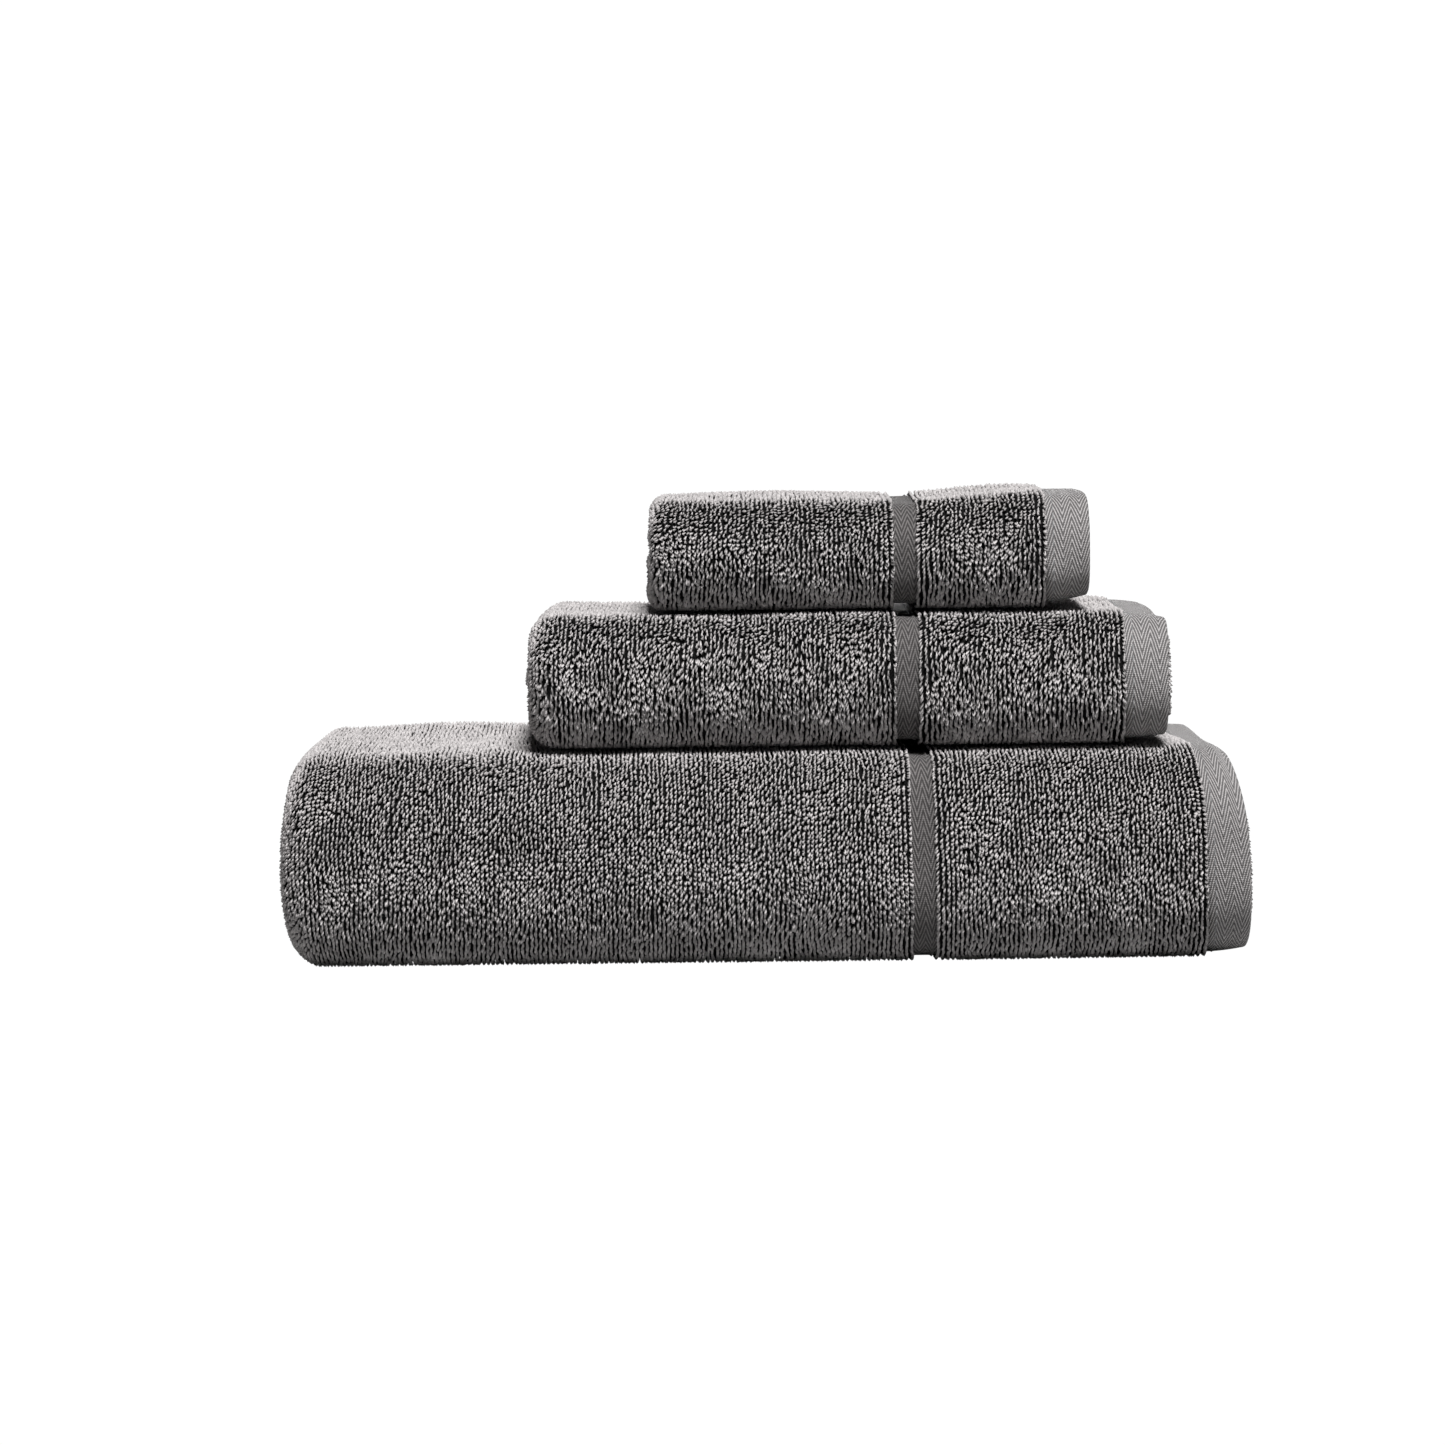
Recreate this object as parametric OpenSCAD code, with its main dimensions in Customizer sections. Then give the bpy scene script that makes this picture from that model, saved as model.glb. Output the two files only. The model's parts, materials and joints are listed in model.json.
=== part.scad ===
// Bath towel set: a bath towel, a hand towel and a wash cloth of looped terry, folded and stacked.
// Lengths are millimetres. +X runs along the folded towels to their hemmed ends, -Y faces the
// smooth folded fronts, +Z is up, and the origin is under the middle of the bath towel.
//
// Each towel is folded lengthwise into plies that lie on each other, and the strip this gives is
// folded again from front to back. The bath towel and the wash cloth have four strips on each
// other, two of them turning at the back of each half, and the hand towel has three.

/* [Bath towel] */
// Length of the bath towel laid flat
bath_flat_l = 1400; // [1200:10:1600]
// Width of the bath towel laid flat
bath_flat_w = 700; // [640:10:800]
// Thickness of one ply of the bath towel
bath_ply = 4.85; // [4.5:0.05:5.5]
// Terry between the bath towel's woven band and its hem
bath_panel_w = 98; // [70:1:120]

/* [Hand towel] */
// Length of the hand towel laid flat
hand_flat_l = 694; // [600:1:760]
// Width of the hand towel laid flat
hand_flat_w = 400; // [360:5:460]
// Thickness of one ply of the hand towel
hand_ply = 5.4; // [4.5:0.05:6]
// Terry between the hand towel's woven band and its hem
hand_panel_w = 74; // [50:1:90]

/* [Wash cloth] */
// Length and width of the wash cloth laid flat
wash_flat = 320; // [290:1:340]
// Thickness of one ply of the wash cloth
wash_ply = 5.5; // [4.5:0.05:6]
// Terry between the wash cloth's woven band and its hem
wash_panel_w = 46; // [30:1:60]

/* [Stack] */
// How far the hand towel's hems stand in from the bath towel's
hand_side_step = 28.7; // [10:0.1:40]
// How far the wash cloth's hems stand in from the hand towel's
wash_side_step = 28.3; // [10:0.1:40]
// How far the hand towel's front stands behind the bath towel's
hand_front_step = 12; // [0:0.5:30]
// How far the wash cloth's front stands behind the hand towel's
wash_front_step = 9; // [0:0.5:30]
// Clearance between one towel and the next
towel_gap = 0.3; // [0.2:0.05:0.6]

/* [Weave] */
// Height of the terry loops, by which the bands and hems lie deeper than the terry
pile_h = 2.4; // [1.5:0.1:3.5]
// Width of the woven band across each towel
band_w = 9; // [6:0.5:14]
// Width of the hem at each towel's end
hem_w = 16.4; // [12:0.1:22]
// Radius of each towel's rounded left end
end_r = 16; // [8:1:20]
// Radius of the top corner of each towel's hemmed end
hem_corner_r = 12; // [6:1:20]

/* [Hem stitching] */
// Distance from one stitch to the next
stitch_pitch = 3.2; // [2.5:0.1:5]
// Length of a stitch
stitch_l = 2.2; // [1.5:0.1:2.4]
// Thickness of the thread
thread_d = 0.6; // [0.4:0.1:1]
// Distance from the terry to the row of stitches
seam_inset = 3; // [2:0.5:6]

/* [Hidden] */
$fn = 96;

// Clearance between one ply of a towel and the next
ply_gap = 0.1;
// How much further in the hem of each deeper ply ends
hem_stagger = 1.6;
// Least radius of a corner on the inner plies
least_r = 1;

// Plies that lie on each other in one strip of each towel
bath_plies = 4;
hand_plies = 3;
wash_plies = 2;

// Thickness of the strip of plies, and the height of the folded towel
bath_strip = bath_plies * bath_ply;
hand_strip = hand_plies * hand_ply;
wash_strip = wash_plies * wash_ply;
bath_h = 4 * bath_strip;
hand_h = 3 * hand_strip;
wash_h = 4 * wash_strip;

// Depth from front to back that uses up the flat width round the folds
bath_d = quarters_depth(bath_flat_w, bath_strip);
hand_d = thirds_depth(hand_flat_w, hand_strip);
wash_d = quarters_depth(wash_flat, wash_strip);

bath_l = bath_flat_l / bath_plies;
hand_l = hand_flat_l / hand_plies;
wash_l = wash_flat / wash_plies;

// The left front bottom corner of each folded towel's box
bath_at = [-bath_l / 2, -bath_d / 2, 0];
hand_at = [
    bath_l / 2 - hand_side_step - hand_l,
    bath_at[1] + hand_front_step,
    bath_h + towel_gap
];
wash_at = [
    bath_l / 2 - hand_side_step - wash_side_step - wash_l,
    hand_at[1] + wash_front_step,
    hand_at[2] + hand_h + towel_gap
];

bath_colour = [0.36, 0.37, 0.40];
hand_colour = [0.40, 0.41, 0.44];
wash_colour = [0.43, 0.44, 0.47];
hem_colour = [0.47, 0.48, 0.51];
thread_colour = [0.55, 0.56, 0.59];

function quarters_depth(flat_w, strip) = 3 * strip + (flat_w - 2.5 * PI * strip) / 4;
function thirds_depth(flat_w, strip) = (flat_w + (6.5 - 1.5 * PI) * strip) / 3;

// Distances along a folded towel from its left end to its band, end panel and hem
function hem_start(length) = length - hem_w;
function panel_start(length, panel_w) = hem_start(length) - panel_w;
function band_start(length, panel_w) = panel_start(length, panel_w) - band_w;

// ---------------------------------------------------------------- outlines from the side

// Half of a round fold at the front, r high above and below its middle
module front_fold(r, inset) {
    translate([r, r])
        intersection() {
            circle(r - inset);
            translate([-r, -r])
                square([r, 2 * r]);
        }
}

// Two strips that turn into each other at the back, with bottom at the height of base
module back_fold(from, depth, strip, base, inset) {
    translate([from, base + inset])
        square([depth - strip - from, 2 * strip - 2 * inset]);
    translate([depth - strip, base + strip])
        circle(strip - inset);
}

// Towel folded in four: two back folds on each other behind one front fold
module quarters_outline(depth, strip, inset) {
    front_fold(2 * strip, inset);
    back_fold(2 * strip, depth, strip, 0, inset);
    back_fold(2 * strip, depth, strip, 2 * strip, inset);
}

// Towel folded in three: one back fold below a strip with a free edge at the back
module thirds_outline(depth, strip, inset) {
    front_fold(1.5 * strip, inset);
    back_fold(1.5 * strip, depth, strip, 0, inset);
    translate([1.5 * strip, 2 * strip])
        square([depth - 1.5 * strip, strip - inset]);
}

module towel_outline(thirds, depth, strip, inset) {
    if (thirds)
        thirds_outline(depth, strip, inset);
    else
        quarters_outline(depth, strip, inset);
}

// ---------------------------------------------------------------- parts of a folded towel

// Extrudes an outline drawn from the side, between two distances from the left end
module along(from, to) {
    translate([from, 0, 0])
        rotate([90, 0, 90])
            linear_extrude(to - from)
                children();
}

// What a quarter circle of radius r leaves of a square corner at the origin
module corner_waste(r) {
    difference() {
        square(r);
        translate([r, r])
            circle(r);
    }
}

// A towel's space with round left corners and a round top corner at its hems; inset is the
// depth under the towel's outside at its left end, top and bottom
module rounded_space(length, depth, height, inset) {
    r_end = max(end_r - inset, least_r);
    r_hem = max(hem_corner_r - inset, least_r);
    top = height - inset;
    intersection() {
        translate([0, depth, 0])
            rotate([90, 0, 0])
                linear_extrude(depth)
                    difference() {
                        translate([inset, inset])
                            square([length - inset, top - inset]);
                        translate([inset, inset])
                            corner_waste(r_end);
                        translate([inset, top])
                            mirror([0, 1])
                                corner_waste(r_end);
                        translate([length, top])
                            rotate(180)
                                corner_waste(r_hem);
                    }
        linear_extrude(height)
            difference() {
                square([length, depth]);
                translate([inset, inset])
                    corner_waste(r_end);
            }
    }
}

// One ply of a towel between two distances from its left end; the ply begins at depth outer
// under the towel's outside and is closed at its left end where cap is true
module ply(thirds, length, depth, strip, outer, inner, from, to, cap = false) {
    height = (thirds ? 3 : 4) * strip;
    intersection() {
        difference() {
            along(from, to)
                towel_outline(thirds, depth, strip, outer);
            if (inner < strip)
                along(cap ? from + inner : from - 1, to + 1)
                    towel_outline(thirds, depth, strip, inner);
        }
        rounded_space(length, depth, height, outer);
    }
}

// Where a row of stitches runs on the front fold and along the top: place and slope at distance s
function seam_point(s, r, r_seam) =
    let (arc = PI * r_seam, a = 180 * s / arc)
    s < arc
        ? [r - r_seam * sin(a), r - r_seam * cos(a), 180 - a]
        : [r + s - arc, r + r_seam, 0];

// Straight stitches of thread, laid on the hem from low on the front fold to the back of the top
module stitches(height, depth, x, back_clear) {
    r = height / 2;
    r_seam = r - pile_h + thread_d / 2 + ply_gap;
    first = PI * r_seam / 6;
    last = PI * r_seam + depth - r - back_clear;
    for (s = [first : stitch_pitch : last]) {
        p = seam_point(s, r, r_seam);
        translate([x, p[0], p[1]])
            rotate([p[2] + 90, 0, 0])
                cylinder(h = stitch_l, d = thread_d, center = true, $fn = 16);
    }
}

// ---------------------------------------------------------------- bath towel, folded in four

// How far the turned side edges reach into the front fold of a towel folded in four
function side_hem_l(strip) = 0.62 * strip;
function side_hem_h(strip) = 0.72 * strip;

// The two turned side edges that end inside the front fold, one on the other
module quarters_side_hems(length, strip, from, clear) {
    for (side = [0, 1])
        along(from - clear, length - hem_w + clear)
            translate([2 * strip - side_hem_l(strip) - clear, 2 * strip])
                mirror([0, side])
                    translate([0, clear > 0 ? -clear : ply_gap / 2])
                        square([
                            side_hem_l(strip) + 2 * clear,
                            side_hem_h(strip) + 2 * clear
                        ]);
}

module bath_ply_part(outer, inner, from, to, cap = false) {
    translate(bath_at)
        ply(false, bath_l, bath_d, bath_strip, outer, inner, from, to, cap);
}

module bath_terry_field() {
    color(bath_colour)
        bath_ply_part(0, bath_ply, 0, band_start(bath_l, bath_panel_w), cap = true);
}

module bath_dobby_band() {
    color(hem_colour)
        bath_ply_part(
            pile_h, bath_ply,
            band_start(bath_l, bath_panel_w), panel_start(bath_l, bath_panel_w)
        );
}

module bath_end_panel() {
    color(bath_colour)
        bath_ply_part(0, bath_ply, panel_start(bath_l, bath_panel_w), hem_start(bath_l));
}

module bath_end_hem() {
    color(hem_colour)
        bath_ply_part(pile_h, bath_ply, hem_start(bath_l), bath_l);
}

module bath_hem_stitching() {
    color(thread_colour)
        translate(bath_at)
            stitches(bath_h, bath_d, hem_start(bath_l) + seam_inset, bath_strip);
}

module bath_second_ply() {
    color(bath_colour)
        bath_ply_part(bath_ply + ply_gap, 2 * bath_ply, bath_ply + ply_gap, hem_start(bath_l));
}

module bath_second_hem() {
    color(hem_colour)
        bath_ply_part(
            bath_ply + ply_gap, 2 * bath_ply,
            hem_start(bath_l), bath_l - hem_stagger
        );
}

module bath_third_ply() {
    color(bath_colour)
        bath_ply_part(
            2 * bath_ply + ply_gap, 3 * bath_ply,
            bath_ply + ply_gap, bath_l - 2 * hem_stagger
        );
}

module bath_inner_ply() {
    color(bath_colour)
        difference() {
            bath_ply_part(
                3 * bath_ply + ply_gap, bath_strip,
                bath_ply + ply_gap, bath_l - 2 * hem_stagger
            );
            translate(bath_at)
                quarters_side_hems(bath_l, bath_strip, 2 * end_r, ply_gap);
        }
}

module bath_side_hems() {
    color(hem_colour)
        translate(bath_at)
            quarters_side_hems(bath_l, bath_strip, 2 * end_r, 0);
}

// ---------------------------------------------------------------- hand towel, folded in three

// Width of the turned side edge that ends at the back of the hand towel's top
side_hem_w = 8;

module hand_ply_part(outer, inner, from, to, cap = false) {
    translate(hand_at)
        ply(true, hand_l, hand_d, hand_strip, outer, inner, from, to, cap);
}

// The space of the turned side edges at the back of the top strip
module hand_side_space(clear) {
    translate([
        hand_at[0] + end_r,
        hand_at[1] + hand_d - side_hem_w - clear,
        hand_at[2] + 2 * hand_strip - clear
    ])
        cube([hand_l - end_r - hem_w, side_hem_w + 2 * clear, hand_strip + 2 * clear]);
}

module hand_terry_field() {
    color(hand_colour)
        difference() {
            hand_ply_part(0, hand_ply, 0, band_start(hand_l, hand_panel_w), cap = true);
            hand_side_space(ply_gap);
        }
}

module hand_dobby_band() {
    color(hem_colour)
        difference() {
            hand_ply_part(
                pile_h, hand_ply,
                band_start(hand_l, hand_panel_w), panel_start(hand_l, hand_panel_w)
            );
            hand_side_space(ply_gap);
        }
}

module hand_end_panel() {
    color(hand_colour)
        difference() {
            hand_ply_part(0, hand_ply, panel_start(hand_l, hand_panel_w), hem_start(hand_l));
            hand_side_space(ply_gap);
        }
}

module hand_end_hem() {
    color(hem_colour)
        hand_ply_part(pile_h, hand_ply, hem_start(hand_l), hand_l);
}

module hand_hem_stitching() {
    color(thread_colour)
        translate(hand_at)
            stitches(hand_h, hand_d, hem_start(hand_l) + seam_inset, stitch_l);
}

// A towel folded in three has its other end at the left, inside the outer ply's turn
module hand_second_hem() {
    color(hem_colour)
        difference() {
            hand_ply_part(
                hand_ply + ply_gap, 2 * hand_ply,
                hand_ply + ply_gap, hand_ply + hem_w
            );
            hand_side_space(ply_gap);
        }
}

module hand_second_ply() {
    color(hand_colour)
        difference() {
            hand_ply_part(
                hand_ply + ply_gap, 2 * hand_ply,
                hand_ply + hem_w, hand_l - hem_stagger
            );
            hand_side_space(ply_gap);
        }
}

module hand_inner_ply() {
    color(hand_colour)
        difference() {
            hand_ply_part(
                2 * hand_ply + ply_gap, hand_strip,
                hand_ply + ply_gap, hand_l - hem_stagger
            );
            hand_side_space(ply_gap);
        }
}

// Three turned edges on each other, each a flat strip with a round outer edge
module hand_side_hems() {
    edge_h = hand_ply - ply_gap;
    color(hem_colour)
        for (i = [0 : hand_plies - 1])
            translate(hand_at)
                along(end_r, hem_start(hand_l))
                    translate([hand_d - side_hem_w, 2 * hand_strip + i * hand_ply]) {
                        square([side_hem_w - edge_h / 2, edge_h]);
                        translate([side_hem_w - edge_h / 2, edge_h / 2])
                            circle(edge_h / 2);
                    }
}

// ---------------------------------------------------------------- wash cloth, folded in four

module wash_ply_part(outer, inner, from, to, cap = false) {
    translate(wash_at)
        ply(false, wash_l, wash_d, wash_strip, outer, inner, from, to, cap);
}

module wash_terry_field() {
    color(wash_colour)
        wash_ply_part(0, wash_ply, 0, band_start(wash_l, wash_panel_w), cap = true);
}

module wash_dobby_band() {
    color(hem_colour)
        wash_ply_part(
            pile_h, wash_ply,
            band_start(wash_l, wash_panel_w), panel_start(wash_l, wash_panel_w)
        );
}

module wash_end_panel() {
    color(wash_colour)
        wash_ply_part(0, wash_ply, panel_start(wash_l, wash_panel_w), hem_start(wash_l));
}

module wash_end_hem() {
    color(hem_colour)
        wash_ply_part(pile_h, wash_ply, hem_start(wash_l), wash_l);
}

module wash_hem_stitching() {
    color(thread_colour)
        translate(wash_at)
            stitches(wash_h, wash_d, hem_start(wash_l) + seam_inset, wash_strip);
}

module wash_inner_ply() {
    color(wash_colour)
        difference() {
            wash_ply_part(wash_ply + ply_gap, wash_strip, wash_ply + ply_gap, hem_start(wash_l));
            translate(wash_at)
                quarters_side_hems(wash_l, wash_strip, end_r, ply_gap);
        }
}

module wash_inner_hem() {
    color(hem_colour)
        wash_ply_part(
            wash_ply + ply_gap, wash_strip,
            hem_start(wash_l), wash_l - hem_stagger
        );
}

module wash_side_hems() {
    color(hem_colour)
        translate(wash_at)
            quarters_side_hems(wash_l, wash_strip, end_r, 0);
}

bath_terry_field();
bath_dobby_band();
bath_end_panel();
bath_end_hem();
bath_hem_stitching();
bath_second_ply();
bath_second_hem();
bath_third_ply();
bath_inner_ply();
bath_side_hems();
hand_terry_field();
hand_dobby_band();
hand_end_panel();
hand_end_hem();
hand_hem_stitching();
hand_second_ply();
hand_second_hem();
hand_inner_ply();
hand_side_hems();
wash_terry_field();
wash_dobby_band();
wash_end_panel();
wash_end_hem();
wash_hem_stitching();
wash_inner_ply();
wash_inner_hem();
wash_side_hems();
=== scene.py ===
"""Looks of a bath towel set: a bath towel, a hand towel and a wash cloth, folded and stacked.

Each towel is one cloth. Class Towel holds how the cloth is folded: u runs along the cloth from
the hem in sight to the hem at its other end, v runs across it, and h stands off its outer face.
Every piece is drawn flat in (u, v, h), and Towel.place() folds it, so that the ground weave,
the terry loops, the bands, the hems and the stitches all bend round the same folds.
"""
import json
import math

import bpy
import numpy as np
from mathutils import Euler, Matrix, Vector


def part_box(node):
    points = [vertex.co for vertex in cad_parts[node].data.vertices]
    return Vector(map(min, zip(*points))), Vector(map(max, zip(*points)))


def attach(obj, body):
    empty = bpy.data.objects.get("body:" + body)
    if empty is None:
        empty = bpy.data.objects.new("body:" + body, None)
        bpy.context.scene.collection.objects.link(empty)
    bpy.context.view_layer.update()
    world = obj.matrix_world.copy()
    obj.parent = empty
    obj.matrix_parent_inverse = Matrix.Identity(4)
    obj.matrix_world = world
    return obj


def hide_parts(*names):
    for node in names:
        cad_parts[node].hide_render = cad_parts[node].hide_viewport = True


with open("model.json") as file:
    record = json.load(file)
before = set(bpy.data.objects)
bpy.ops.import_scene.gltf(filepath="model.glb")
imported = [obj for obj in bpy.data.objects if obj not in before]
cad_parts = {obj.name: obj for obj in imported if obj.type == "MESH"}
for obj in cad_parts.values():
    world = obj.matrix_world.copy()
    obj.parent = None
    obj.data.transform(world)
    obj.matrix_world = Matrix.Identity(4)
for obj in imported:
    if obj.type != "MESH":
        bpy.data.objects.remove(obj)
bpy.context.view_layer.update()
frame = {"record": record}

MM = 0.001
FIRST_SEED = 17              # of the bath towel; each next towel's is SEED_STEP higher
SEED_STEP = 10

# ------------------------------------------------------------------ driving dimensions, metres

GROUND_T = 0.8 * MM          # thickness of the ground weave under the loops
HEM_T = 2.3 * MM             # thickness of a hem, the weave turned over twice
HEM_LEVEL = GROUND_T / 2 + 0.1 * MM  # height of its outer face
SEAM_INSET = 3 * MM          # how far its stitches are from the terry
SIDE_HEM_T = 2.6 * MM        # thickness of a turned side edge
SIDE_HEM_W = 10.5 * MM       # width of a turned side edge
TURN_STAGGER = 1.6 * MM      # how much further in each deeper ply ends at the right
GRID = 3.0 * MM              # size of the ground weave's faces
FINE_GRID = 0.25 * MM        # the same across the bands
TUCK = 0.6 * MM              # how far a band's weave runs on inside the terry's
TUCK_THINNER = 0.15 * MM     # how much it is thinner there on each face
CORDS = ((0.21, 0.55 * MM), (0.94, 0.30 * MM))  # a band's cords: share of its width, height
CORD_W = 0.38 * MM           # half width of a cord
LOOP_RINGS = 5               # rings along one terry loop
LOOP_SIDES = 3               # sides of its yarn
LOOPS_A_PIECE = 8200         # most loops in one object
EDGE_FALL = 4.5 * MM         # how near an edge of the terry its loops start to lean out
EDGE_LEAN = 1.25 * MM        # how far the outermost loops lean
LOOP_ANGLE = math.radians(128)  # how the loops' arches lie across the towel
LOOP_INSET = 0.7 * MM        # how far the loops keep off a side hem
HEM_FULLNESS = 2.3           # how boxy the front fold is at the hem; 2 is a half circle
FLAT_PILE = 0.5 * MM         # how near the floor the pile underneath is pressed flat
END_SEEN = 26 * MM           # how far in an inner ply has loops at its right end
FOLD_SEEN = 40 * MM          # how far in it has loops at its left end, inside the front fold

# Loops are left out deep between the plies and strips, and thinned under the bath towel.
SEEN_RIGHT = 46 * MM         # how far in from the right end all loops are kept
SEEN_LEFT = 12 * MM          # how far in from the left end
SEEN_BACK = 14 * MM          # how far in from the back folds
UNDER_SHARE = 0.3            # share of its loops that the bath towel's underside keeps
UNDER_FRONT = 14 * MM        # how far from each edge of the underside they start to be thinned
UNDER_BACK = 10 * MM
UNDER_LEFT = 16 * MM
UNDER_RIGHT = 30 * MM

# Linear colours
# The loops' foot colour is painted shade, near black, for the shade deep between the loops.
YARN_FOOT_SHADE = (0.002, 0.002, 0.002)
YARN_HEAD = (0.455, 0.434, 0.432)
# The ground weave's grey is painted shade, near black, for the shade in the gaps between the loops.
GROUND_SHADE_GREY = (0.006, 0.006, 0.006)
HEM_GREY = (0.310, 0.296, 0.295)
# The band's grey is about a third of the hem's: painted shade for the recess the band lies in between
# the terry.
BAND_SHADE_GREY = (0.112, 0.105, 0.104)
THREAD_GREY = (0.24, 0.24, 0.245)


# ------------------------------------------------------------------ smooth functions

def smooth(x, low, high):
    """0 below low, 1 above high, and a smooth step between them."""
    t = np.clip((x - low) / (high - low), 0.0, 1.0)
    return t * t * (3.0 - 2.0 * t)


class Ripples:
    """A smooth random surface over two coordinates, between about -1 and 1."""

    def __init__(self, seed, shortest, longest, count=14):
        rng = np.random.default_rng(seed)
        length = rng.uniform(shortest, longest, count)
        angle = rng.uniform(0, 2 * math.pi, count)
        self.k = 2 * math.pi * np.stack([np.cos(angle), np.sin(angle)]) / length
        self.phase = rng.uniform(0, 2 * math.pi, count)
        self.scale = 1.4 / math.sqrt(count)

    def at(self, a, b):
        out = np.zeros(np.broadcast(a, b).shape)
        for kx, ky, phase in zip(self.k[0], self.k[1], self.phase):
            out += np.sin(kx * a + ky * b + phase)
        return out * self.scale


# ------------------------------------------------------------------ how a towel is folded

class Towel:
    """One cloth, folded along its length into plies and then from front to back into strips."""

    def __init__(self, name, body, plies, strips, shape, seed):
        self.name = name
        self.body = body
        self.plies = plies
        self.strips = strips
        self.shape = shape
        nodes = frame["record"]["behaviour"]["bodies"][body]
        corners = [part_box(node) for node in nodes]
        self.low = np.array([min(c[0][i] for c in corners) for i in range(3)])
        self.high = np.array([max(c[1][i] for c in corners) for i in range(3)])
        self.length, self.depth, self.height = self.high - self.low
        self.strip = self.height / strips
        self.ply = self.strip / plies
        self.lengthwise = self.plan_lengthwise()
        self.crosswise = self.plan_crosswise()
        self.u_end = sum(part["length"] for part in self.lengthwise)
        self.v_end = sum(part["length"] for part in self.crosswise)
        self.swell = Ripples(seed, 60 * MM, 170 * MM)
        self.dimple = Ripples(seed + 1, 16 * MM, 45 * MM)

    # The plies, as straights and turns in x and depth. Depth 0 is the outside of the strip.
    def plan_lengthwise(self):
        t = self.ply
        left = self.plies * t / 2
        right = self.length - TURN_STAGGER - t / 2
        last = self.length - TURN_STAGGER
        half = t / 2
        if self.plies == 4:
            return [
                self.run(self.length, left, half), self.turn(left, 2 * t, 1.5 * t, 1, True),
                self.run(left, right, 3.5 * t), self.turn(right, 3 * t, half, -1, False),
                self.run(right, left, 2.5 * t), self.turn(left, 2 * t, half, -1, True),
                self.run(left, last, 1.5 * t),
            ]
        if self.plies == 3:
            return [
                self.run(self.length, left, half), self.turn(left, 1.5 * t, t, 1, True),
                self.run(left, right, 2.5 * t), self.turn(right, 2 * t, half, -1, False),
                self.run(right, t + half, 1.5 * t),
            ]
        return [
            self.run(self.length, left, half), self.turn(left, t, half, 1, True),
            self.run(left, last, 1.5 * t),
        ]

    @staticmethod
    def run(x0, x1, depth):
        return {"length": abs(x1 - x0), "turn": False, "x": (x0, x1), "depth": depth}

    @staticmethod
    def turn(x, depth, radius, deeper, at_left):
        """A half turn about (x, depth); deeper is 1 where it leads to a deeper ply."""
        side = -1 if at_left else 1
        return {
            "length": math.pi * radius, "turn": True, "x": x, "depth": depth,
            "radius": radius, "deeper": deeper, "side": side,
        }

    # The strips, as straights and half turns in y and z. A straight's height is z plus
    # rise times depth, and a turn's radius is r less depth.
    def plan_crosswise(self):
        p = self.strip
        back = self.depth - p
        mid = p / 2

        def straight(y0, y1, z, rise):
            return {"length": abs(y1 - y0), "turn": False, "y": (y0, y1), "z": z, "rise": rise}

        def turn(y, z, r, start, sweep):
            return {
                "length": math.pi * (r - mid), "turn": True, "y": y, "z": z, "r": r,
                "start": start, "sweep": sweep,
            }

        up, down = math.pi / 2, -math.pi / 2
        if self.strips == 4:
            front = 2 * p
            return [
                straight(front, back, 2 * p, -1), turn(back, p, p, up, -math.pi),
                straight(back, front, 0, 1), turn(front, 2 * p, 2 * p, down, -math.pi),
                straight(front, back, 4 * p, -1), turn(back, 3 * p, p, up, -math.pi),
                straight(back, front, 2 * p, 1),
            ]
        front = 1.5 * p
        return [
            straight(front, back, 2 * p, -1), turn(back, p, p, up, -math.pi),
            straight(back, front, 0, 1), turn(front, 1.5 * p, 1.5 * p, down, -math.pi),
            straight(front, self.depth, 3 * p, -1),
        ]

    def along(self, u, h):
        """x and depth of points at u on the cloth, h off its outer face."""
        x = np.zeros_like(u)
        depth = np.zeros_like(u)
        start = 0.0
        parts = self.lengthwise
        for i, part in enumerate(parts):
            inside = (u >= start if i else np.ones(u.shape, bool))
            if i < len(parts) - 1:
                inside &= u < start + part["length"]
            s = (u - start)[inside]
            off = h[inside]
            if part["turn"]:
                a = s / part["radius"]
                out = -part["deeper"]
                r = part["radius"] + (off if part["deeper"] > 0 or part["side"] > 0 else -off)
                x[inside] = part["x"] + part["side"] * r * np.sin(a)
                depth[inside] = part["depth"] + out * r * np.cos(a)
            else:
                x0, x1 = part["x"]
                way = 1.0 if x1 > x0 else -1.0
                x[inside] = x0 + way * s
                depth[inside] = part["depth"] + way * off
            start += part["length"]
        return x, depth

    def across(self, v, depth):
        """y and z of points at v across the cloth, at a depth under the strip's outside."""
        y = np.zeros_like(v)
        z = np.zeros_like(v)
        start = 0.0
        parts = self.crosswise
        for i, part in enumerate(parts):
            inside = (v >= start if i else np.ones(v.shape, bool))
            if i < len(parts) - 1:
                inside &= v < start + part["length"]
            s = (v - start)[inside]
            d = depth[inside]
            if part["turn"]:
                a = part["start"] + part["sweep"] * s / part["length"]
                r = part["r"] - d
                y[inside] = part["y"] + r * np.cos(a)
                z[inside] = part["z"] + r * np.sin(a)
            else:
                y0, y1 = part["y"]
                way = 1.0 if y1 > y0 else -1.0
                y[inside] = y0 + way * s
                z[inside] = part["z"] + part["rise"] * d
            start += part["length"]
        return y, z

    def fall(self, v):
        """How steeply the outside climbs towards larger v: 1 straight up, -1 straight down."""
        step = 0.2 * MM
        zero = np.zeros_like(v)
        return (self.across(v + step, zero)[1] - self.across(v - step, zero)[1]) / (2 * step)

    def settle(self, x, y, z):
        """The softness of real cloth, on points in the folded towel's own box."""
        s = self.shape
        r = self.height / 2
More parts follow.
